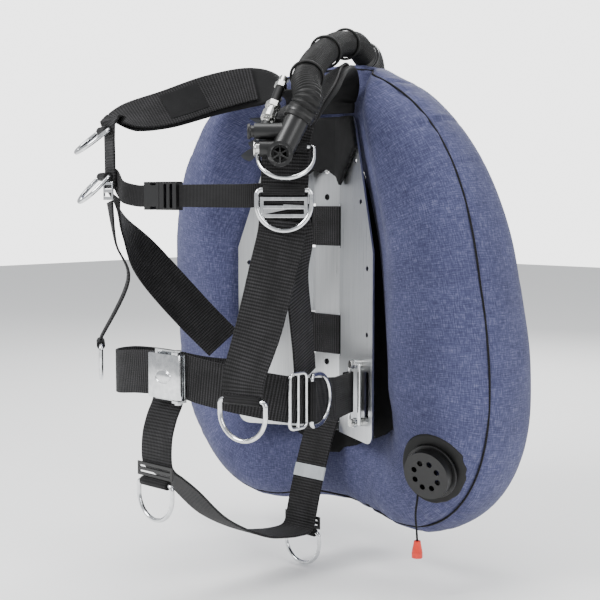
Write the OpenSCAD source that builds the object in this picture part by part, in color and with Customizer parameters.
// A diver's buoyancy wing on a steel backplate, with its webbing harness and inflator.
// Origin: centre of the tank-bolt pair, on the front face of the plate's channel.
// +Z is up, -Y is the wearer's front and +X is the wearer's left.

/* [Backplate] */
// Thickness of the steel sheet
plate_t = 3; // [2:0.5:4]
// Half the width of the channel's floor and walls, at the bend lines
channel_half = 26.5; // [24:0.5:32]
// Depth of the channel behind the side panels
channel_depth = 6; // [5:0.5:12]
// Width of each side panel, measured along the bent sheet
panel_w = 97; // [85:1:110]
// Forward bend of the side panels, in degrees
panel_bend = 25; // [15:1:30]
// Height of the plate above the bolt centre
plate_top = 205; // [180:1:215]
// Depth of the plate below the bolt centre
plate_bottom = 193; // [180:1:205]
// Height at which the plate starts to taper
taper_start = 40; // [0:1:80]
// Half-width of the plate at its top edge
top_half = 67; // [62:1:80]
// Distance between the two tank bolts
bolt_spacing = 279.4; // [270:0.1:290]
// Radius of each tank-bolt hole
bolt_hole_r = 4.5; // [4:0.1:6]

/* [Wing] */
// Half-width of the ring's centreline
wing_side = 177; // [170:1:200]
// Height of the centreline's top
wing_top = 227; // [215:1:250]
// Depth of the centreline's bottom
wing_bottom = 262; // [235:1:270]
// Half-width of the tube at the sides, in the ring's plane
side_half = 88; // [70:1:95]
// Half-depth of the tube at the sides, front to back
side_deep = 74; // [55:1:85]
// Half-width of the tube at the top
crown_half = 43; // [38:1:48]
// Half-depth of the tube at the top
crown_deep = 46; // [36:1:52]
// Half-width of the tube at the bottom
foot_half = 56; // [46:1:60]
// Half-depth of the tube at the bottom
foot_deep = 42; // [34:1:50]
// Thickness of the outer fabric shell
shell_wall = 2; // [1.5:0.1:3]
// Thickness of the inner bladder
bladder_wall = 1.2; // [0.8:0.1:1.6]

/* [Webbing] */
// Width of the main harness webbing
web_w = 50; // [45:1:52]
// Thickness of the webbing
web_t = 2.6; // [2:0.1:3]
// Width of the chest strap
chest_w = 25; // [20:1:30]
// Thickness of the shoulder padding
pad_t = 9; // [6:0.5:12]

/* [Hardware] */
// Radius of the rod that the rings are bent from
rod_r = 2.5; // [2.4:0.1:3.2]
// Inner width of each ring
ring_inner = 52; // [52:0.5:56]
// Straight leg of each ring, between its corner and its bow
ring_leg = 9; // [4:0.5:16]
// Radius of each ring's corners
ring_corner = 5; // [4.5:0.5:6]
// Thickness of the stamped slides and adjusters
slide_t = 2; // [1.8:0.1:2.2]

/* [Inflator] */
// Outer radius of the corrugated hose
hose_r = 15.5; // [14:0.5:16]
// Radius of the low-pressure hose
lp_r = 5; // [4:0.1:6]
// Travel of the two push buttons
button_travel = 4; // [2:0.5:4]

/* [Dump valve] */
// Radius of the valve's outer flange
valve_r = 33; // [30:0.5:38]
// Radius of the valve's neck through the fabric
valve_neck_r = 17; // [14:0.5:18]
// Travel of the pull cord
dump_travel = 8; // [4:0.5:8]

/* [Hidden] */

// Gap between touching soft pieces, and radial clearance of a running fit
gap = 0.3;
run = 0.08;
round_fn = 48;
black = "#1d1c1e";
steel = "#c4c6c8";
denim = "#4f5d8c";

// ---------- helpers ----------

function unit(v) = v / norm(v);
function spow(v, e) = sign(v) * pow(abs(v), e);
function bell(d, w) = exp(-(d / w) * (d / w));
function ramp(a, b, v) = let (s = min(1, max(0, (v - a) / (b - a)))) s * s * (3 - 2 * s);
function place(s) = [s[0], s[1], s[2]];
function width_dir(s) = [s[3], s[4], s[5]];

// A smooth curve through the given stations, with k steps between neighbours
function curve_at(a, b, c, d, t) =
    ((2 * b) + (c - a) * t + (2 * a - 5 * b + 4 * c - d) * t * t
     + (3 * b - a - 3 * c + d) * t * t * t) / 2;
function smooth(p, k) =
    let (n = len(p) - 1)
    concat([for (i = [0:n - 1], j = [0:k - 1])
            curve_at(p[max(i - 1, 0)], p[i], p[i + 1], p[min(i + 2, n)], j / k)],
           [p[n]]);

// Turn a part's own Z axis to direction n at point p
module aim(p, n, roll = 0) {
    translate(p)
    rotate([0, acos(n[2] / norm(n)), atan2(n[1], n[0])])
    rotate([0, 0, roll])
    children();
}

// Sweep a section, given in width and thickness, along stations [x, y, z, wx, wy, wz]
module sweep(stations, section) {
    n = len(stations);
    m = len(section);
    rings = [for (i = [0:n - 1])
        let (t = unit(place(stations[min(i + 1, n - 1)]) - place(stations[max(i - 1, 0)])),
             w0 = width_dir(stations[i]),
             w = unit(w0 - (w0 * t) * t),
             h = cross(t, w))
        for (c = section) place(stations[i]) + c[0] * scale_at(stations[i]) * w + c[1] * h];
    sides = [for (i = [0:n - 2], j = [0:m - 1])
        let (k = (j + 1) % m, a = i * m + j, b = i * m + k)
        each 2 * j < m ? [[a, a + m, b], [b, a + m, b + m]] : [[a, a + m, b + m], [a, b + m, b]]];
    polyhedron(points = rings,
               faces = concat([[for (j = [0:m - 1]) j]],
                              [[for (j = [m - 1:-1:0]) (n - 1) * m + j]],
                              sides),
               convexity = 6);
}

// A station's seventh value, if it has one, widens or narrows the section there
function scale_at(s) = len(s) > 6 ? s[6] : 1;
function flat_section(w, t) = [[-w / 2, -t / 2], [w / 2, -t / 2], [w / 2, t / 2], [-w / 2, t / 2]];
function pad_section(w, t) =
    [[-w / 2, -t / 4], [-w / 2 + t / 2, -t / 2], [w / 2 - t / 2, -t / 2], [w / 2, -t / 4],
     [w / 2, t / 4], [w / 2 - t / 2, t / 2], [-w / 2 + t / 2, t / 2], [-w / 2, t / 4]];
function round_section(r, sides) = [for (a = [0:sides - 1]) r * [cos(360 * a / sides), sin(360 * a / sides)]];

module web(stations, w = web_w, k = 3) {
    sweep(smooth(stations, k), flat_section(w, web_t));
}

module tube(r, bore, h) {
    difference() {
        cylinder(r = r, h = h, $fn = round_fn);
        translate([0, 0, -1])
        cylinder(r = bore, h = h + 2, $fn = round_fn);
    }
}

// ---------- backplate ----------

panel_out = channel_half + panel_w * cos(panel_bend);
panel_fwd = channel_depth + panel_w * sin(panel_bend);
sheet_back = plate_t / cos(panel_bend);
slot_half_h = web_w / 2 + 3;
band_z = 69;
band_slot_x = channel_half - 1.5;
corner_r = 14;

function plate_edge(z) =
    z < taper_start ? panel_out
    : panel_out + (top_half - panel_out) * (z - taper_start) / (plate_top - taper_start);
function plate_front(x) =
    abs(x) < channel_half ? 0 : -channel_depth - (abs(x) - channel_half) * tan(panel_bend);

function arc(cx, cy, r, from, to, steps) =
    [for (i = [0:steps]) [cx + r * cos(from + (to - from) * i / steps),
                          cy + r * sin(from + (to - from) * i / steps)]];

module plate_outline() {
    right = concat(
        arc(panel_out - corner_r, -plate_bottom + corner_r, corner_r, -90, 0, 5),
        [[panel_out, taper_start]],
        arc(top_half - corner_r, plate_top - corner_r, corner_r, 15, 90, 5));
    polygon(concat(right, [for (i = [len(right) - 1:-1:0]) [-right[i][0], right[i][1]]]));
}

// The bent sheet seen from above, with the channel stepped back by its depth
module plate_section() {
    floor_half = channel_half - channel_depth / 2;
    front = [[floor_half, 0], [channel_half, -channel_depth], [panel_out + 5, plate_front(panel_out + 5)]];
    back = [[panel_out + 5, plate_front(panel_out + 5) + sheet_back],
            [channel_half + plate_t / 2, plate_front(channel_half + plate_t / 2) + sheet_back],
            [floor_half + plate_t / 2, plate_t]];
    half = concat(front, back);
    polygon(concat(half, [for (i = [len(half) - 1:-1:0]) [-half[i][0], half[i][1]]]));
}

module across_plate(x, z, r) {
    translate([x, -panel_fwd - 20, z])
    rotate([-90, 0, 0])
    cylinder(r = r, h = panel_fwd + 60, $fn = round_fn);
}

belt_slot_x = 100;
belt_slot_z = -133;
shoulder_slot_x = 42;
shoulder_slot_z = 178;
crotch_slot_z = -176;

module backplate() {
    color(steel)
    difference() {
        intersection() {
            translate([0, 0, -plate_bottom - 10])
            linear_extrude(plate_top + plate_bottom + 20)
            plate_section();
            rotate([90, 0, 0])
            translate([0, 0, -40])
            linear_extrude(panel_fwd + 60)
            plate_outline();
        }
        // tank bolts, and the lighter pair of holes between them
        for (s = [-1, 1]) {
            across_plate(0, s * bolt_spacing / 2, bolt_hole_r);
            across_plate(0, s * 105.5, 4);
        }
        // accessory holes down the side panels
        for (sx = [-1, 1], z = [150, 100, 20, -60]) across_plate(sx * (plate_edge(z) - 14), z, 3);
        // slots for the tank bands, one each side of the channel
        for (sx = [-1, 1], sz = [-1, 1])
            translate([sx * band_slot_x - 5, -20, sz * band_z - slot_half_h])
            cube([10, 40, 2 * slot_half_h]);
        // slots for the waist belt
        for (sx = [-1, 1])
            translate([sx * belt_slot_x - 5, -70, belt_slot_z - slot_half_h])
            cube([10, 80, 2 * slot_half_h]);
        // slots for the shoulder webbing and the crotch strap
        for (sx = [-1, 1])
            translate([sx * shoulder_slot_x - slot_half_h + 10, -40, shoulder_slot_z])
            cube([2 * slot_half_h - 20, 60, 9]);
        translate([-slot_half_h, -30, crotch_slot_z - 6])
        cube([2 * slot_half_h, 60, 14]);
        // bolts of the belt bracket
        bracket_bores(bracket_bolt_r + run);
    }
}

// Bent-rod frame on the left panel: the waist belt turns round its inner rod
bracket_x = 86;
bracket_rod = 2;
bracket_half = 14;
bracket_high = 36;
bracket_lift = 9;
bracket_bolt_r = 3;
eye_r = 6;

// Work in a side panel's own plane: X runs outwards along the sheet, -Y stands off its face
module on_panel(x, z) {
    translate([x, plate_front(x), z])
    rotate([0, 0, -panel_bend])
    children();
}

module bracket_bores(r) {
    for (s = [-1, 1])
        on_panel(bracket_x, belt_slot_z + s * bracket_high)
        translate([0, -30, 0])
        rotate([-90, 0, 0])
        cylinder(r = r, h = 60, $fn = round_fn);
}

module belt_bracket() {
    color(steel)
    difference() {
        on_panel(bracket_x, belt_slot_z)
        translate([0, -bracket_lift, 0]) {
            for (s = [-1, 1]) {
                translate([s * bracket_half, 0, -bracket_high])
                cylinder(r = bracket_rod, h = 2 * bracket_high, $fn = round_fn);
                translate([-bracket_half, 0, s * bracket_high])
                rotate([0, 90, 0])
                cylinder(r = bracket_rod, h = 2 * bracket_half, $fn = round_fn);
                translate([0, -bracket_rod, s * bracket_high])
                rotate([-90, 0, 0])
                cylinder(r = eye_r, h = 2 * bracket_rod, $fn = round_fn);
                for (z = [-1, 1])
                    translate([s * bracket_half, 0, z * bracket_high])
                    sphere(r = bracket_rod, $fn = round_fn);
            }
        }
        bracket_bores(bracket_bolt_r + run);
    }
}

// Each bolt has a spacer under the frame's eye, a hex head in front and a nut behind
module bracket_bolts() {
    stand = bracket_lift - bracket_rod;
    color("#d8d9da")
    for (s = [-1, 1])
        on_panel(bracket_x, belt_slot_z + s * bracket_high)
        rotate([-90, 0, 0]) {
            translate([0, 0, -bracket_lift - bracket_rod - gap])
            cylinder(r = bracket_bolt_r, h = bracket_lift + bracket_rod + gap + plate_t + 6, $fn = round_fn);
            translate([0, 0, -bracket_lift - bracket_rod - gap - 4])
            cylinder(r = 5.5, h = 4, $fn = 6);
            translate([0, 0, -stand + 0.1])
            cylinder(r = 5, h = stand - 0.2, $fn = round_fn);
            translate([0, 0, plate_t + 0.1])
            cylinder(r = 5.5, h = 4, $fn = 6);
        }
}

// ---------- wing ----------

wing_rings = 52;
wing_sides = 20;
wing_y = 12;
wing_tilt = 0.14;
wing_narrow = 0.15;
foot_notch = 26;
side_power = 2.4;
liner_gap = 1.9;
press_gap = 4;
yoke_clear = 13;

function ring_power(t) = sin(t) >= 0 ? 2.3 : 2.9;
function wing_centre(t) =
    let (z = (sin(t) >= 0 ? wing_top : wing_bottom) * spow(sin(t), 2 / ring_power(t))
             + foot_notch * bell(t - 270, 24),
         x = wing_side * spow(cos(t), 2 / ring_power(t)) * (1 - wing_narrow * z / wing_top))
    [x, wing_y - wing_tilt * z, z];
function wing_out(t) =
    let (d = wing_centre(t + 1) - wing_centre(t - 1)) unit([d[2], 0, -d[0]]);
function tube_half(t) = side_half + (crown_half - side_half) * bell(t - 90, 42) + (foot_half - side_half) * bell(t - 270, 26);
function tube_deep(t) = side_deep + (crown_deep - side_deep) * bell(t - 90, 42) + (foot_deep - side_deep) * bell(t - 270, 26);

// Where the plate lies on the wing, each section is flattened from the front to stay behind it
function flattened(p, t, inset) =
    let (x = abs(p[0]),
         rear = wing_centre(t)[1] + tube_deep(t),
         front = wing_centre(t)[1] - tube_deep(t),
         above = ramp(plate_top, plate_top + 30, p[2]),
         lim = plate_front(x) * (1 - above) - yoke_clear * above + sheet_back + press_gap,
         near = (1 - ramp(plate_edge(p[2]) + 16, plate_edge(p[2]) + 60, x))
                * (1 - ramp(plate_bottom + 8, plate_bottom + 40, -p[2])),
         new_front = front + near * max(0, lim - front),
         k = (rear - new_front - 2 * inset) / (rear - front - 2 * inset))
    [p[0], rear - inset - (rear - inset - p[1]) * k, p[2]];
// The inner side reaches in less at the two lower corners, where the ring turns tightly
function inner_ease(t) = 1 - 0.28 * (bell(t - 312, 22) + bell(t - 228, 22));
function wing_point(t, u, inset) =
    let (side = cos(u) < 0 ? inner_ease(t) : 1)
    flattened(wing_centre(t)
              + wing_out(t) * (tube_half(t) * side - inset) * spow(cos(u), 2 / side_power)
              - [0, 1, 0] * (tube_deep(t) - inset) * spow(sin(u), 2 / side_power), t, inset);
function wing_facing(t, u) =
    unit(cross(wing_point(t + 2, u, 0) - wing_point(t - 2, u, 0),
               wing_point(t, u + 4, 0) - wing_point(t, u - 4, 0)));

// Closed ring of the wing's tube, drawn in by the inset
module wing_ring(inset) {
    points = [for (i = [0:wing_rings - 1], j = [0:wing_sides - 1])
              wing_point(360 * i / wing_rings, 360 * j / wing_sides, inset)];
    faces = [for (i = [0:wing_rings - 1], j = [0:wing_sides - 1])
        let (a = i * wing_sides + j,
             b = i * wing_sides + (j + 1) % wing_sides,
             c = ((i + 1) % wing_rings) * wing_sides + j,
             d = ((i + 1) % wing_rings) * wing_sides + (j + 1) % wing_sides)
        each [[a, b, c], [b, d, c]]];
    polyhedron(points = points, faces = faces, convexity = 10);
}

// Where the dump valve and the hose elbow sit on the wing
valve_t = 360 * 46 / wing_rings;
valve_u = 360 * 4 / wing_sides;
elbow_t = 360 * 12 / wing_rings;
elbow_u = 360 * 16 / wing_sides;
elbow_neck_r = 14;

module wall_holes() {
    aim(wing_point(valve_t, valve_u, 0), wing_facing(valve_t, valve_u))
    translate([0, 0, -16])
    cylinder(r = valve_neck_r + gap, h = 30, $fn = round_fn);
    aim(wing_point(elbow_t, elbow_u, 0), wing_facing(elbow_t, elbow_u))
    translate([0, 0, -16])
    cylinder(r = elbow_neck_r + gap, h = 30, $fn = round_fn);
}

module wing_shell() {
    color(denim)
    difference() {
        wing_ring(0);
        wing_ring(shell_wall);
        wall_holes();
    }
}

module wing_bladder() {
    color("#30333a")
    difference() {
        wing_ring(shell_wall + liner_gap);
        wing_ring(shell_wall + liner_gap + bladder_wall);
        wall_holes();
    }
}

// ---------- centre panel ----------

panel_t = 3;
panel_y = plate_t + 0.4;
// The panel is cut oversize by this much, then trimmed to meet the wing
panel_under = 12;

function panel_rim(t) =
    let (c = wing_centre(t),
         off = min(0.99, abs(c[1] - panel_y - panel_t / 2) / tube_deep(t)),
         reach = tube_half(t) * inner_ease(t) * pow(1 - pow(off, side_power), 1 / side_power) - panel_under,
         p = c - wing_out(t) * reach)
    [p[0], p[2]];

module center_panel() {
    color(black)
    difference() {
        rotate([90, 0, 0])
        translate([0, 0, -panel_y - panel_t])
        linear_extrude(panel_t)
        polygon([for (i = [0:47]) panel_rim(360 * i / 48)]);
        for (s = [-1, 1]) across_plate(0, s * bolt_spacing / 2, bolt_hole_r + 3);
        for (sx = [-1, 1], sz = [-1, 1])
            translate([sx * (band_slot_x + 3) - 8, -20, sz * band_z - slot_half_h])
            cube([16, 40, 2 * slot_half_h]);
        translate([-slot_half_h, -5, crotch_slot_z - 12])
        cube([2 * slot_half_h, 20, 26]);
        // clear of the webbing that runs behind the plate
        for (sx = [-1, 1])
            translate([sx * shoulder_slot_x - slot_half_h + 6, 0, shoulder_slot_z - 34])
            cube([2 * slot_half_h - 12, 20, 60]);
        wing_ring(-gap);
    }
}

module panel_grommets() {
    color("#b9bbbd")
    for (s = [-1, 1])
        translate([0, panel_y - 0.2, s * bolt_spacing / 2])
        rotate([-90, 0, 0])
        rotate_extrude($fn = round_fn)
        polygon([[bolt_hole_r + 0.5, 0], [bolt_hole_r + 2.7, 0], [bolt_hole_r + 2.7, panel_t + 0.5],
                 [bolt_hole_r + 7, panel_t + 0.5], [bolt_hole_r + 7, panel_t + 1.5],
                 [bolt_hole_r + 0.5, panel_t + 1.5]]);
}

// Two bands that cross the channel, pass through the slots and fold flat behind the panel
module tank_bands() {
    fold_y = panel_y + panel_t + 2 * gap + web_t / 2;
    color(black)
    for (sz = [-1, 1])
        web(concat([for (p = [[-66, fold_y], [-46, fold_y], [-33, fold_y], [-27, 6], [-24.5, 2],
                              [-20, -web_t / 2 - gap], [0, -web_t / 2 - gap], [20, -web_t / 2 - gap],
                              [24.5, 2], [27, 6], [33, fold_y], [46, fold_y], [66, fold_y]])
                    [p[0], p[1], sz * band_z, 0, 0, 1]]), k = 2);
}

// ---------- rings, keepers and slides ----------

// Put a part at p with its X axis along the width w and its -Z axis along the hang d
module hang(p, w, d) {
    z = -unit(d - (d * unit(w)) * unit(w));
    x = unit(w);
    y = cross(z, x);
    multmatrix([[x[0], y[0], z[0], p[0]], [x[1], y[1], z[1], p[1]], [x[2], y[2], z[2], p[2]]])
    children();
}

bow_r = ring_inner / 2 + rod_r;
bar_half = bow_r - ring_corner;
ring_drop = ring_corner + ring_leg;
keeper_r = rod_r + run + web_t;
keeper_half = bar_half - 1;
ring_stand = keeper_r + gap + web_t / 2;

// D-shaped ring: its bar lies on the X axis and its bow hangs along -Z
module ring_shape() {
    rotate([0, 90, 0])
    translate([0, 0, -bar_half])
    cylinder(r = rod_r, h = 2 * bar_half, $fn = round_fn);
    for (s = [0, 1])
        mirror([s, 0, 0]) {
            translate([bar_half, 0, -ring_corner])
            rotate([90, 0, 0])
            rotate_extrude(angle = 90, $fn = round_fn)
            translate([ring_corner, 0])
            circle(r = rod_r, $fn = round_fn);
            translate([bow_r, 0, -ring_drop])
            cylinder(r = rod_r, h = ring_leg, $fn = round_fn);
        }
    translate([0, 0, -ring_drop])
    rotate([-90, 0, 0])
    rotate_extrude(angle = 180, $fn = round_fn)
    translate([bow_r, 0])
    circle(r = rod_r, $fn = round_fn);
}

module keeper_shape() {
    rotate([0, 90, 0])
    translate([0, 0, -keeper_half])
    tube(keeper_r, rod_r + run, 2 * keeper_half);
}

// Flat slide with two windows and a middle bar, its width along X
module slide_shape(w, h) {
    window = (h - 3 * 4) / 2;
    translate([-w / 2, -slide_t / 2, -h / 2])
    difference() {
        cube([w, slide_t, h]);
        for (z = [4, 8 + window])
            translate([4, -1, z])
            cube([w - 8, slide_t + 2, window]);
    }
}

fwd_left = [0.68, -0.73, 0];
fwd_right = [-0.43, -0.9, 0];
across_left = [0.73, 0.68, 0];
across_right = [-0.9, 0.43, 0];
down = [0, 0, -1];

chest_bar_left = [148, -230.8, 158] + ring_stand * fwd_left;
chest_bar_right = [-137, -239, 185] + ring_stand * fwd_right;
chest_hang_left = 0.64 * fwd_left + 0.77 * down;
chest_hang_right = 0.78 * fwd_right + 0.62 * down;
adjuster_bar_left = [148.8, -234.8, 113] + (ring_stand + gap) * fwd_left;
adjuster_bar_right = [-137, -239, 130] + (ring_stand + gap) * fwd_right;
adjuster_hang_right = 0.7 * fwd_right + 0.7 * down;
tail_end_left = [138, -286, -98];
tail_end_right = [-138, -256, -64];
tail_across_left = [0.98, 0.2, 0];
tail_across_right = [-0.8, 0.6, 0];
tail_bar_left = tail_end_left + (keeper_r + 1) * down;
tail_bar_right = tail_end_right + (keeper_r + 1.2) * down;
belt_bar = [137.2, -188, -117] + ring_stand * [0.95, 0.31, 0];
belt_hang = [-0.25, 0.96, 0];
up = [0, 0, 1];
side = [1, 0, 0];
crotch_rear_z = -304;
crotch_front_z = -200;
crotch_slide_h = 16;
crotch_rear_y = -49;
crotch_front_y = -286;
slide_off = web_t / 2 + gap + slide_t / 2;
crotch_rear_bar = [0, crotch_rear_y + slide_off + gap, crotch_rear_z - crotch_slide_h / 2 - gap - keeper_r];
crotch_front_bar = [0, crotch_front_y - slide_off, crotch_front_z - crotch_slide_h / 2 - gap - keeper_r];

module chest_ring_left() {
    color("#c9cacc")
    hang(chest_bar_left, across_left, chest_hang_left)
    ring_shape();
}

module chest_ring_right() {
    color("#c9cacc")
    hang(chest_bar_right, across_right, chest_hang_right)
    ring_shape();
}

module adjuster_ring_left() {
    color("#c9cacc")
    hang(adjuster_bar_left, across_left, down)
    ring_shape();
}

module adjuster_ring_right() {
    color("#c9cacc")
    hang(adjuster_bar_right, across_right, adjuster_hang_right)
    ring_shape();
}

module tail_ring_left() {
    color("#c9cacc")
    hang(tail_bar_left, tail_across_left, down)
    ring_shape();
}

module tail_ring_right() {
    color("#c9cacc")
    hang(tail_bar_right, tail_across_right, down)
    ring_shape();
}

module belt_ring() {
    color("#c9cacc")
    hang(belt_bar, up, belt_hang)
    ring_shape();
}

module crotch_ring_rear() {
    color("#c9cacc")
    hang(crotch_rear_bar, side, down)
    ring_shape();
}

module crotch_ring_front() {
    color("#c9cacc")
    hang(crotch_front_bar, side, down)
    ring_shape();
}

module ring_keepers() {
    color(black) {
        hang(chest_bar_left, across_left, down) keeper_shape();
        hang(chest_bar_right, across_right, down) keeper_shape();
        hang(adjuster_bar_left, across_left, down) keeper_shape();
        hang(adjuster_bar_right, across_right, down) keeper_shape();
        hang(tail_bar_left, tail_across_left, down) keeper_shape();
        hang(tail_bar_right, tail_across_right, down) keeper_shape();
        hang(belt_bar, up, belt_hang) keeper_shape();
        hang(crotch_rear_bar, side, down) keeper_shape();
        hang(crotch_front_bar, side, down) keeper_shape();
    }
}

// ---------- harness webbing ----------
// Each station is a point, the direction of the webbing's width there, and a width factor.

pad_w = 60;
pad_route_left = [[33, -20, 208, 1, 0, 0, 1], [35, -26, 230, 1, 0, 0.1, 1],
                  [54, -48, 245, 0.9, 0.1, 0.4, 1], [90, -100, 238, 0.9, 0.1, 0.4, 0.95],
                  [124, -154, 215, 0.88, 0.3, 0.35, 0.85], [140, -197, 195, 0.8, 0.5, 0.2, 0.8],
                  [147, -222, 178, 0.73, 0.66, 0.1, 0.8]];
pad_route_right = [[-33, -20, 208, -1, 0, 0, 1], [-36, -28, 230, -0.95, 0, 0.3, 1],
                   [-64, -52, 245, -0.7, 0, 0.7, 1], [-98, -100, 235, -0.5, 0, 0.85, 0.95],
                   [-121, -162, 212, -0.5, 0.2, 0.8, 0.85], [-134, -206, 199, -0.65, 0.3, 0.6, 0.75],
                   [-139, -231, 192, -0.9, 0.4, 0.2, 0.75]];

// The same route moved off along the webbing's normal
function lift(route, d) =
    let (n = len(route))
    [for (i = [0:n - 1])
     let (t = unit(place(route[min(i + 1, n - 1)]) - place(route[max(i - 1, 0)])),
          h = unit(cross(t, width_dir(route[i]))),
          p = place(route[i]) + d * h)
     concat(p, width_dir(route[i]))];

over_pad = pad_t / 2 + 3 * gap + web_t / 2;
function part_of(list, from, to) = [for (i = [from:to]) list[i]];
pad_curve_left = smooth(pad_route_left, 5);
pad_curve_right = smooth(pad_route_right, 5);
pad_rings = len(pad_curve_left);
web_from = 11;
web_route_left = concat(part_of(lift(pad_curve_left, over_pad), web_from, pad_rings - 1),
                        [[148, -230.5, 162, 0.73, 0.68, 0], [148.4, -233, 128, 0.73, 0.68, 0],
                         [148.8, -235.2, 98, 0.73, 0.68, 0]]);
web_route_right = concat(part_of(lift(pad_curve_right, -over_pad), web_from, pad_rings - 1),
                         [[-137, -239, 189, -0.9, 0.43, 0], [-137, -239, 154, -0.9, 0.43, 0],
                          [-137, -239, 116, -0.9, 0.43, 0]]);
load_route_left = [[146, -231.5, 92, 0.73, 0.68, 0], [146.5, -224, 66, 0.62, 0.78, 0],
                   [144.5, -212, 20, -0.2, 0.98, 0], [137.5, -195, -40, -0.3, 0.95, 0],
                   [129.5, -181, -92, -0.3, 0.95, 0]];
load_route_right = [[-135.5, -235.5, 108, -0.9, 0.43, 0], [-138, -218, 70, -0.6, 0.78, 0],
                    [-137, -176, 20, 0.1, 0.9, 0.3], [-126, -120, -40, 0.45, 0.62, 0.62],
                    [-112, -78, -84, 0.5, 0.5, 0.7]];
tail_route_left = [[149, -236.8, 81, 0.73, 0.68, 0], [148.5, -239.5, 64, 0.73, 0.68, 0],
                   [147.5, -249, 34, 0.76, 0.64, 0], [144, -268, -30, 0.84, 0.5, 0],
                   [138.8, -284.4, -78, 0.96, 0.28, 0], concat(tail_end_left, tail_across_left)];
tail_route_right = [[-137, -240, 100, -0.9, 0.43, 0], [-129, -238, 50, -0.8, 0.6, 0],
                    [-114, -232, 6, -0.8, 0.55, 0], concat(tail_end_right, tail_across_right)];

module shoulder_pad_left() {
    color(black)
    sweep(part_of(pad_curve_left, 0, pad_rings - 3), pad_section(pad_w, pad_t));
}

module shoulder_pad_right() {
    color(black)
    sweep(part_of(pad_curve_right, 0, pad_rings - 3), pad_section(pad_w, pad_t));
}

module shoulder_webbing_left() {
    color(black)
    web(web_route_left, k = 1);
}

module shoulder_webbing_right() {
    color(black)
    web(web_route_right, k = 1);
}

module load_webbing_left() {
    color(black)
    web(load_route_left);
}

module load_webbing_right() {
    color(black)
    web(load_route_right);
}

module tail_webbing_left() {
    color(black)
    web(tail_route_left);
}

module tail_webbing_right() {
    color(black)
    web(tail_route_right, w = 28);
}

module shoulder_adjusters() {
    color(steel) {
        hang([148.8, -235, 95] + slide_off * fwd_left, across_left, down)
        slide_shape(50, 22);
        hang([-137, -239, 113] + slide_off * fwd_right, across_right, down)
        slide_shape(50, 22);
    }
}

// Yoke: a padded layer over the plate's upper end, with a pointed flap on each side
module yoke_pad() {
    yoke_top = plate_top + 1.2;
    half = [[0, 134], [9, 139], [28, 130], [37, 118], [54, 142], [76, 168], [64, yoke_top], [0, yoke_top]];
    face = [[0, -channel_depth - gap], [channel_half, -channel_depth - gap],
            [panel_out, plate_front(panel_out) - gap], [panel_out, plate_front(panel_out) - gap - pad_t],
            [channel_half, -channel_depth - gap - pad_t], [0, -channel_depth - gap - pad_t]];
    color(black)
    for (s = [0, 1])
        mirror([s, 0, 0])
        intersection() {
            translate([0, 0, 100])
            linear_extrude(110)
            polygon(face);
            rotate([90, 0, 0])
            translate([0, 0, -10])
            linear_extrude(panel_fwd + 40)
            polygon(half);
        }
}

// ---------- chest strap ----------

chest_z = 107;
buckle_left_x = 6;
buckle_right_x = -50;
buckle_y = -254;
buckle_t = 11;
prong_gap = 0.4;
chest_route_left = [[buckle_left_x, buckle_y, chest_z, 0, 0, 1], [60, -256, chest_z, 0, 0, 1],
                    [112, -256, chest_z, 0, 0, 1], [132.5, -244.4, chest_z + 1, 0, 0, 1],
                    [145.4, -232.3, chest_z + 1, 0, 0, 1]];
chest_route_right = [[buckle_right_x, buckle_y, chest_z, 0, 0, 1],
                     [buckle_right_x - 16, buckle_y - 0.5, chest_z, 0, 0, 1], [-88, -257, 111, 0, 0, 1],
                     [-108, -248, 118, 0, 0, 1], [-121, -242.5, 126, 0, 0, 1],
                     [-135.5, -235.8, 128, 0, 0, 1]];

module chest_strap_left() {
    color(black)
    web(chest_route_left, w = chest_w);
}

module chest_strap_right() {
    color(black)
    web(chest_route_right, w = chest_w);
}

// Side-release buckle: the socket is a flat sleeve and the plug has two prongs and a ladder lock
socket_w = chest_w + 7;
socket_l = 26;
split_x = buckle_right_x + gap + socket_l;

module chest_buckle_socket() {
    color("#222224")
    difference() {
        translate([buckle_right_x + gap, buckle_y - buckle_t / 2, chest_z - socket_w / 2])
        cube([socket_l, buckle_t, socket_w]);
        translate([buckle_right_x + gap + 8, buckle_y - buckle_t / 2 + 2, chest_z - socket_w / 2 + 3])
        cube([socket_l, buckle_t - 4, socket_w - 6]);
        for (s = [-1, 1])
            translate([buckle_right_x + gap + 11, buckle_y - buckle_t / 2 - 1,
                       chest_z + s * socket_w / 2 - 4])
            cube([10, buckle_t + 2, 8]);
    }
}

module chest_buckle_plug() {
    prong = 14;
    color("#222224")
    difference() {
        union() {
            translate([split_x + prong_gap, buckle_y - buckle_t / 2, chest_z - socket_w / 2])
            cube([buckle_left_x - gap - split_x - prong_gap, buckle_t, socket_w]);
            for (s = [-1, 1])
                translate([split_x - prong, buckle_y - buckle_t / 2 + 2 + prong_gap,
                           chest_z + s * (socket_w / 2 - 9) - 2.5])
                cube([prong + 2, buckle_t - 4 - 2 * prong_gap, 5]);
        }
        // ladder-lock windows
        for (x = [split_x + 8, split_x + 18])
            translate([x, buckle_y - buckle_t / 2 - 1, chest_z - chest_w / 2 - 1])
            cube([5, buckle_t + 2, chest_w + 2]);
    }
}

// ---------- waist belt ----------

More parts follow.
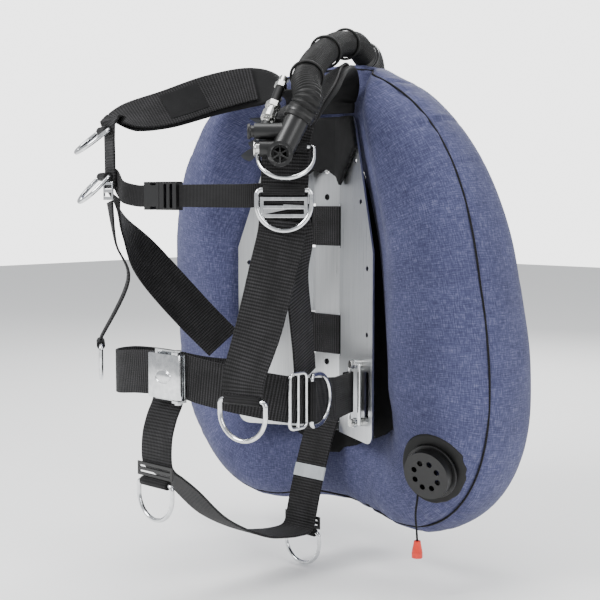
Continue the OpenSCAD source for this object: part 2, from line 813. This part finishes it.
belt_rod = [bracket_x, plate_front(bracket_x), belt_slot_z]
           + [-bracket_half * cos(panel_bend) - bracket_lift * sin(panel_bend),
              bracket_half * sin(panel_bend) - bracket_lift * cos(panel_bend), 0];
wrap_r = bracket_rod + gap + web_t / 2;
function wrap_at(a) = [belt_rod[0] + wrap_r * cos(a), belt_rod[1] + wrap_r * sin(a), belt_slot_z, 0, 0, 1];
buckle_x = 12;
buckle_z = -92;
belt_y = -272;
belt_route_left = [[112, -112, -127, 0, 0, 1], [128, -165, -120, 0, 0, 1],
                   [140, -200, -115, 0, 0, 1], [134, -238, -107, 0, 0, 1],
                   [100, -262, -100, 0, 0, 1], [60, -271, -95, 0, 0, 1],
                   [34, belt_y, buckle_z, 0, 0, 1], [18, belt_y, buckle_z, 0, 0, 1]];
belt_route_right = [[4, belt_y, buckle_z, 0, 0, 1], [-20, belt_y, buckle_z, 0, 0, 1],
                    [-52, -273, -94, 0, 0, 1], [-92, -266, -99, 0, 0, 1],
                    [-122, -240, -101, 0, 0, 1], [-136, -200, -104, 0, 0, 1],
                    [-138, -150, -113, 0, 0, 1], [-127, -100, -126, 0, 0, 1],
                    [-110, -60, -132, 0, 0, 1], [-belt_slot_x, -38, belt_slot_z, 0, 0, 1],
                    [-90, -22, belt_slot_z, 0, 0, 1]];

module waist_belt_left() {
    loop = [for (a = [200:-25:25]) wrap_at(a)];
    color(black)
    sweep(concat([[belt_rod[0] - 2, belt_rod[1] - 9, belt_slot_z, 0, 0, 1]], loop,
                 smooth(belt_route_left, 3)),
          flat_section(web_w, web_t));
}

module waist_belt_right() {
    color(black)
    web(belt_route_right);
}

// Cam buckle: a frame with two ears, a pin and a lever that swings to the side
cam_r = 5;
pin_r = 2.5;
frame_t = 2.5;
ear_h = 3;
frame_w = 50;
frame_face = belt_y - web_t / 2 - gap - frame_t;
pin_x = buckle_x + frame_w / 2 - cam_r;
pin_y = frame_face - gap - cam_r;
lever_h = web_w;
pin_head = 4;

module waist_buckle_frame() {
    half = lever_h / 2 + gap + ear_h;
    color(steel)
    difference() {
        union() {
            translate([buckle_x - frame_w / 2, frame_face, buckle_z - half])
            cube([frame_w, frame_t, 2 * half]);
            for (z = [-half, half - ear_h])
                translate([pin_x - cam_r, pin_y - cam_r, buckle_z + z])
                cube([2 * cam_r, 2 * cam_r + frame_t, ear_h]);
        }
        translate([pin_x, pin_y, buckle_z - half - 1])
        cylinder(r = pin_r + run, h = 2 * half + 2, $fn = round_fn);
        for (x = [-18, 2])
            translate([buckle_x + x, frame_face - 1, buckle_z - web_w / 2 + 2])
            cube([8, frame_t + 2, web_w - 4]);
    }
}

module waist_buckle_lever() {
    cover_t = 2;
    color("#d5d6d7")
    difference() {
        union() {
            translate([pin_x, pin_y, buckle_z - lever_h / 2])
            cylinder(r = cam_r, h = lever_h, $fn = round_fn);
            translate([buckle_x - frame_w / 2, pin_y - cam_r, buckle_z - lever_h / 2])
            cube([pin_x - buckle_x + frame_w / 2, cover_t, lever_h]);
            translate([buckle_x - frame_w / 2, pin_y - cam_r, buckle_z - lever_h / 2])
            cube([cover_t, 7, lever_h]);
            // blank oval boss
            for (x = [-4, 4])
                translate([buckle_x + x, pin_y - cam_r + 1, buckle_z])
                rotate([90, 0, 0])
                cylinder(r = 6, h = 2.2, $fn = round_fn);
            translate([buckle_x - 4, pin_y - cam_r - 1.2, buckle_z - 6])
            cube([8, 2.2, 12]);
        }
        translate([pin_x, pin_y, buckle_z - lever_h])
        cylinder(r = pin_r + run, h = 2 * lever_h, $fn = round_fn);
    }
}

module waist_buckle_pin() {
    half = lever_h / 2 + gap + ear_h + gap;
    color(steel)
    translate([pin_x, pin_y, buckle_z]) {
        translate([0, 0, -half])
        cylinder(r = pin_r, h = 2 * half, $fn = round_fn);
        for (z = [-half - 1.5, half])
            translate([0, 0, z])
            cylinder(r = pin_head, h = 1.5, $fn = round_fn);
    }
}

module belt_slider() {
    color(steel)
    hang([140.7, -208, -114] + slide_off * [1, 0, 0], up, [0, -1, 0])
    slide_shape(60, 26);
}

// ---------- crotch strap ----------

crotch_route = [[0, 9, crotch_slot_z + 22, 1, 0, 0], [0, 7.5, crotch_slot_z + 8, 1, 0, 0],
                [0, -3, crotch_slot_z, 1, 0, 0], [0, -12, crotch_slot_z - 14, 1, 0, 0],
                [0, -25, -222, 1, 0, 0], [0, -40, -266, 1, 0, 0],
                [0, crotch_rear_y, -298, 1, 0, 0], [0, -51.5, -307, 1, 0, 0], [0, -58, -313, 1, 0, 0],
                [0, -72, -314, 1, 0, 0], [0, -100, -311, 1, 0, 0], [0, -140, -301, 1, 0, 0],
                [0, -200, -269, 1, 0, 0], [0, -245, -228, 1, 0, 0], [0, -268, -209, 1, 0, 0],
                [0, -281, -199, 1, 0, 0], [0, crotch_front_y, -188, 1, 0, 0],
                [0, -285, -162, 1, 0, 0], [0, -278, -140, 1, 0, 0], [0, -268.6, -121, 1, 0, 0],
                [0, -267.8, -96, 1, 0, 0]];

module crotch_strap() {
    color(black)
    web(crotch_route, k = 2);
}

module crotch_slides() {
    color(black) {
        hang([0, crotch_rear_y + slide_off + gap, crotch_rear_z], side, down)
        slide_shape(60, crotch_slide_h);
        hang([0, crotch_front_y - slide_off, crotch_front_z], side, down)
        slide_shape(60, crotch_slide_h);
    }
}

// ---------- hose and inflator ----------

elbow_root = wing_point(elbow_t, elbow_u, 0);
elbow_dir = wing_facing(elbow_t, elbow_u);
elbow_r = 17;
elbow_bore = 8.5;
elbow_reach = 35;
seat_lift = 0.4;
elbow_knee = elbow_root + elbow_reach * elbow_dir;
bend_r = 34;
bend_turn = 100;
// Body end of the hose, its direction there, and the mouthpiece's face
cuff = [170, -237, 185];
nose = [162, -254, 150];
nose_dir = [0.68, -0.73, -0.05];
heading = unit([cuff[0] - elbow_knee[0], cuff[1] - elbow_knee[1], 0]);
bend_start = elbow_knee + [0, 0, 3];
bend_end = bend_start + bend_r * ((1 - cos(bend_turn)) * heading + sin(bend_turn) * [0, 0, 1]);
bend_dir = sin(bend_turn) * heading + cos(bend_turn) * [0, 0, 1];
spigot = 8;
hose_bore = hose_r - 2.5;
spigot_r = hose_bore * cos(15) - 1.2;
body_dir = unit(nose - cuff);

// The elbow's bend, a quarter-turn and a little more over the wing, after a short upright foot
elbow_foot = 13;
function elbow_bend(foot) =
    concat([concat(bend_start - [0, 0, foot], cross(heading, up)),
            concat(bend_start - [0, 0, foot / 2], cross(heading, up))],
           [for (i = [0, 1, 2, 3, 4, 5, 6, 7, 8, 9, 9.9, 10])
            let (a = bend_turn * i / 10)
            concat(bend_start + bend_r * ((1 - cos(a)) * heading + sin(a) * up), cross(heading, up))]);

module hose_elbow() {
    color("#26262a")
    difference() {
        union() {
            aim(elbow_root, elbow_dir) {
                translate([0, 0, seat_lift])
                cylinder(r = 20, h = 3, $fn = round_fn);
                translate([0, 0, -16])
                cylinder(r = elbow_neck_r, h = elbow_reach + 16, $fn = round_fn);
            }
            sweep(elbow_bend(elbow_foot), round_section(elbow_r, 20));
            aim(bend_end, bend_dir)
            translate([0, 0, -1])
            cylinder(r = spigot_r, h = spigot + 1, $fn = round_fn);
        }
        aim(elbow_root, elbow_dir)
        translate([0, 0, -20])
        cylinder(r = elbow_bore, h = elbow_reach + 20, $fn = round_fn);
        sweep(elbow_bend(elbow_foot - 5), round_section(elbow_bore + 0.6, 20));
        aim(bend_end, bend_dir)
        translate([0, 0, -2])
        cylinder(r = elbow_bore - 0.5, h = spigot + 4, $fn = round_fn);
    }
}

// Ring that clamps the elbow from inside the wing
module elbow_nut() {
    color("#303034")
    aim(elbow_root, elbow_dir)
    translate([0, 0, -14])
    tube(21, elbow_neck_r + run, 3);
}

hose_mid = [[59, -14, 290], [68, -40, 288], [84, -78, 282], [104, -120, 269], [128, -166, 250], [153, -206, 227]];
hose_start = bend_end + gap * bend_dir;
hose_route = concat([concat(hose_start + 5 * bend_dir, [0, 0.3, 1])],
                    [for (p = hose_mid) concat(p, [-0.3, 0.5, 1])],
                    [concat(cuff - 24 * body_dir, [-0.3, 1, 0.3]), concat(cuff - 5 * body_dir, [-0.3, 1, 0.3])]);
hose_curve = concat([concat(hose_start, [0, 0.3, 1])], smooth(hose_route, 4),
                    [concat(cuff, [-0.3, 1, 0.3])]);

module corrugated_hose() {
    color("#1b1b1d")
    difference() {
        sweep(hose_curve, round_section(hose_r, 12));
        sweep(concat([concat(hose_start - 3 * bend_dir, [0, 0.3, 1])], hose_curve,
                     [concat(cuff + 3 * body_dir, [-0.3, 1, 0.3])]),
              round_section(hose_bore, 12));
    }
}

module hose_retainers() {
    cord = 1.6;
    color("#141416")
    for (i = [10, 17, 24]) {
        p = place(hose_curve[i]);
        aim(p, place(hose_curve[i + 1]) - place(hose_curve[i - 1]))
        rotate_extrude($fn = round_fn)
        translate([hose_r + gap + cord, 0])
        circle(r = cord, $fn = 16);
    }
}

body_r = 12.5;
body_bore = 8;
nose_r = 12;
nose_bore = 6.5;
chamber_dir = [-0.73, -0.68, 0];
chamber_root = cuff + 14 * body_dir;
chamber_l = 38;
chamber_r = 8.5;
button_r = 6;
low_root = nose - 6 * body_dir;
low_l = 24;
nipple_dir = unit([-0.22, 0.62, 0.75]);
nipple_root = chamber_root + 29 * chamber_dir;
nipple_r = 3.5;
button_l = 12;

module inflator_body() {
    color("#202023")
    difference() {
        union() {
            aim(cuff, body_dir) {
                translate([0, 0, -spigot])
                cylinder(r = spigot_r, h = spigot + gap + 1, $fn = round_fn);
                translate([0, 0, gap])
                cylinder(r = body_r, h = norm(nose - cuff) - gap, $fn = round_fn);
            }
            translate(nose)
            sphere(r = body_r + 0.5, $fn = round_fn);
            aim(nose, nose_dir)
            cylinder(r = nose_r, h = body_r, $fn = round_fn);
            aim(chamber_root, chamber_dir)
            cylinder(r = chamber_r, h = chamber_l, $fn = round_fn);
            aim(low_root, chamber_dir)
            cylinder(r = chamber_r, h = low_l, $fn = round_fn);
            aim(nipple_root, nipple_dir)
            cylinder(r = 5.5, h = chamber_r + 3, $fn = round_fn);
        }
        aim(cuff, body_dir)
        translate([0, 0, -spigot - 1])
        cylinder(r = body_bore, h = norm(nose - cuff) + spigot + 2, $fn = round_fn);
        aim(nose, nose_dir)
        cylinder(r = nose_bore, h = 40, $fn = round_fn);
        aim(chamber_root, chamber_dir)
        translate([0, 0, chamber_l - 16])
        cylinder(r = button_r + run, h = 20, $fn = round_fn);
        aim(low_root, chamber_dir)
        translate([0, 0, low_l - 12])
        cylinder(r = button_r + run, h = 16, $fn = round_fn);
        aim(nipple_root, nipple_dir)
        translate([0, 0, 2])
        cylinder(r = nipple_r, h = 20, $fn = round_fn);
    }
}

// Mouthpiece with a six-spoked guard
module mouthpiece() {
    color("#232326")
    aim(nose, nose_dir)
    translate([0, 0, body_r + gap]) {
        difference() {
            cylinder(r = 13, h = 9, $fn = round_fn);
            translate([0, 0, -1])
            cylinder(r = 9, h = 11, $fn = round_fn);
        }
        for (a = [0:60:120])
            rotate([0, 0, a])
            translate([-9.5, -0.8, 6])
            cube([19, 1.6, 2]);
    }
}

module inflate_button() {
    color("#2a2a2d")
    aim(chamber_root, chamber_dir)
    translate([0, 0, chamber_l - button_travel - 4]) {
        cylinder(r = button_r, h = 4 + 2 * button_travel, $fn = round_fn);
        translate([0, 0, 4 + 2 * button_travel])
        cylinder(r = chamber_r - 0.5, h = 3, $fn = round_fn);
    }
}

module deflate_button() {
    color("#c8c9cb")
    aim(low_root, chamber_dir)
    translate([0, 0, low_l - button_travel - 3]) {
        cylinder(r = button_r, h = 3 + 2 * button_travel, $fn = round_fn);
        translate([0, 0, 3 + 2 * button_travel])
        cylinder(r = chamber_r - 0.5, h = 2, $fn = round_fn);
    }
}

module coil(r, wire, h, turns) {
    steps = 12 * turns;
    sweep([for (i = [0:steps]) [r * cos(30 * i), r * sin(30 * i), wire + (h - 2 * wire) * i / steps,
                                cos(30 * i), sin(30 * i), 0]],
          round_section(wire, 6));
}

module button_springs() {
    color(steel) {
        aim(chamber_root, chamber_dir)
        translate([0, 0, chamber_l - 16 + 0.1])
        coil(4.4, 0.5, 16 - button_travel - 4 - 0.2, 3);
        aim(low_root, chamber_dir)
        translate([0, 0, low_l - 12 + 0.1])
        coil(4.4, 0.5, 12 - button_travel - 3 - 0.2, 2);
    }
}

module qd_nipple() {
    color(steel)
    aim(nipple_root, nipple_dir)
    translate([0, 0, chamber_r + 3 + gap])
    difference() {
        cylinder(r = nipple_r, h = 10, $fn = round_fn);
        translate([0, 0, -1])
        cylinder(r = 1.5, h = 12, $fn = round_fn);
    }
}

coupler_start = chamber_r + 3 + gap + 4;
coupler_l = 24;
coupler_r = 6;
sleeve_r = 8;
sleeve_l = 9;
sleeve_travel = 3;

module qd_coupler() {
    color(steel)
    aim(nipple_root, nipple_dir)
    translate([0, 0, coupler_start])
    difference() {
        union() {
            cylinder(r = coupler_r, h = coupler_l, $fn = round_fn);
            translate([0, 0, coupler_l - 7])
            cylinder(r = sleeve_r, h = 7, $fn = 6);
        }
        translate([0, 0, -1])
        cylinder(r = nipple_r + run, h = 8, $fn = round_fn);
        cylinder(r = 2, h = coupler_l + 1, $fn = round_fn);
    }
}

// Spring-back release sleeve
module qd_sleeve() {
    color("#cfd0d2")
    aim(nipple_root, nipple_dir)
    translate([0, 0, coupler_start + 2])
    tube(sleeve_r, coupler_r + run, sleeve_l);
}

lp_start = coupler_start + coupler_l + gap;
lp_l = 22;

module lp_hose() {
    color("#1b1b1d")
    aim(nipple_root, nipple_dir)
    translate([0, 0, lp_start])
    tube(lp_r, 2.4, lp_l);
}

module lp_fitting() {
    color(steel)
    aim(nipple_root, nipple_dir)
    translate([0, 0, lp_start + lp_l + gap])
    difference() {
        union() {
            cylinder(r = 6.5, h = 7, $fn = 6);
            cylinder(r = 4.5, h = 16, $fn = round_fn);
        }
        translate([0, 0, -1])
        cylinder(r = 2.2, h = 18, $fn = round_fn);
    }
}

// ---------- dump valve ----------

valve_at = wing_point(valve_t, valve_u, 0);
valve_dir = wing_facing(valve_t, valve_u);
base_t = 3;
cap_r = 29;
cap_t = 2.5;
cap_h = 12;
stem_r = 2.5;
poppet_r = valve_neck_r - 4.5;
// Where the cord leaves the cap, through a guide that points straight down
cord_r = 1.25;
cord_lean = down + 0.8 * [-0.73, -0.68, 0];
cord_exit = valve_at + (base_t + cap_h - 4) * valve_dir
            + (cap_r - 3) * unit(cord_lean - (cord_lean * valve_dir) * valve_dir);

module dump_valve_base() {
    color("#1f1f21")
    aim(valve_at, valve_dir)
    difference() {
        union() {
            translate([0, 0, seat_lift])
            cylinder(r = valve_r, h = base_t, $fn = round_fn);
            translate([0, 0, -16])
            cylinder(r = valve_neck_r, h = 16 + seat_lift + 0.1, $fn = round_fn);
            translate([0, 0, -16])
            cylinder(r = valve_neck_r + 5, h = 3, $fn = round_fn);
        }
        translate([0, 0, -13])
        cylinder(r = valve_neck_r - 3, h = 30, $fn = round_fn);
        translate([0, 0, -17])
        cylinder(r = stem_r + run, h = 30, $fn = round_fn);
        for (a = [0:60:300])
            rotate([0, 0, a])
            translate([9, 0, -17])
            cylinder(r = 2.5, h = 6, $fn = round_fn);
    }
}

module dump_valve_cap() {
    color("#232326")
    difference() {
        union() {
            aim(valve_at, valve_dir)
            translate([0, 0, base_t + seat_lift + 0.1])
            difference() {
                cylinder(r = cap_r, h = cap_h, $fn = round_fn);
                translate([0, 0, -1])
                cylinder(r = cap_r - cap_t, h = cap_h - cap_t + 1, $fn = round_fn);
                // vents round the cover
                for (a = [0:45:315])
                    rotate([0, 0, a + 22.5])
                    translate([16, 0, 0])
                    cylinder(r = 3.5, h = cap_h + 1, $fn = round_fn);
            }
            translate(cord_exit + [0, 0, -4])
            cylinder(r = cord_r + 2, h = 8, $fn = round_fn);
        }
        translate(cord_exit + [0, 0, -10])
        cylinder(r = cord_r + 0.3, h = 30, $fn = round_fn);
    }
}

module dump_poppet() {
    color("#d8d3c4")
    aim(valve_at, valve_dir) {
        translate([0, 0, -12.6])
        cylinder(r = poppet_r, h = 2, $fn = round_fn);
        translate([0, 0, -22])
        cylinder(r = stem_r, h = 11, $fn = round_fn);
    }
}

module dump_spring() {
    color(steel)
    aim(valve_at, valve_dir)
    translate([0, 0, -10.4])
    coil(7, 0.6, 20, 3);
}

cord_route = [cord_exit + [0, 0, 2], cord_exit + [0, 0, -10], cord_exit + [-2, -1, -30],
              cord_exit + [-1, 0, -50], cord_exit + [0, 0, -62]];
knob_top = cord_exit + [0, 0, -62];

module dump_cord() {
    color("#2a2a2c")
    sweep(smooth([for (p = cord_route) concat(p, [1, 0, 0])], 4), round_section(cord_r, 8));
}

module dump_knob() {
    color("#d42a20")
    translate(knob_top + [0, 0, -gap / 3])
    mirror([0, 0, 1]) {
        cylinder(r1 = 4, r2 = 6.5, h = 14, $fn = round_fn);
        translate([0, 0, 14])
        cylinder(r = 6.5, h = 6, $fn = round_fn);
    }
}

backplate();
belt_bracket();
bracket_bolts();
wing_shell();
wing_bladder();
center_panel();
panel_grommets();
tank_bands();
hose_elbow();
elbow_nut();
corrugated_hose();
hose_retainers();
inflator_body();
mouthpiece();
inflate_button();
deflate_button();
button_springs();
qd_nipple();
qd_coupler();
qd_sleeve();
lp_hose();
lp_fitting();
yoke_pad();
shoulder_pad_left();
shoulder_pad_right();
shoulder_webbing_left();
shoulder_webbing_right();
load_webbing_left();
load_webbing_right();
tail_webbing_left();
tail_webbing_right();
shoulder_adjusters();
chest_ring_left();
chest_ring_right();
adjuster_ring_left();
adjuster_ring_right();
ring_keepers();
tail_ring_left();
tail_ring_right();
chest_strap_left();
chest_strap_right();
chest_buckle_socket();
chest_buckle_plug();
waist_belt_left();
waist_belt_right();
waist_buckle_frame();
waist_buckle_lever();
waist_buckle_pin();
belt_slider();
belt_ring();
crotch_strap();
crotch_slides();
crotch_ring_rear();
crotch_ring_front();
dump_valve_base();
dump_valve_cap();
dump_poppet();
dump_spring();
dump_cord();
dump_knob();
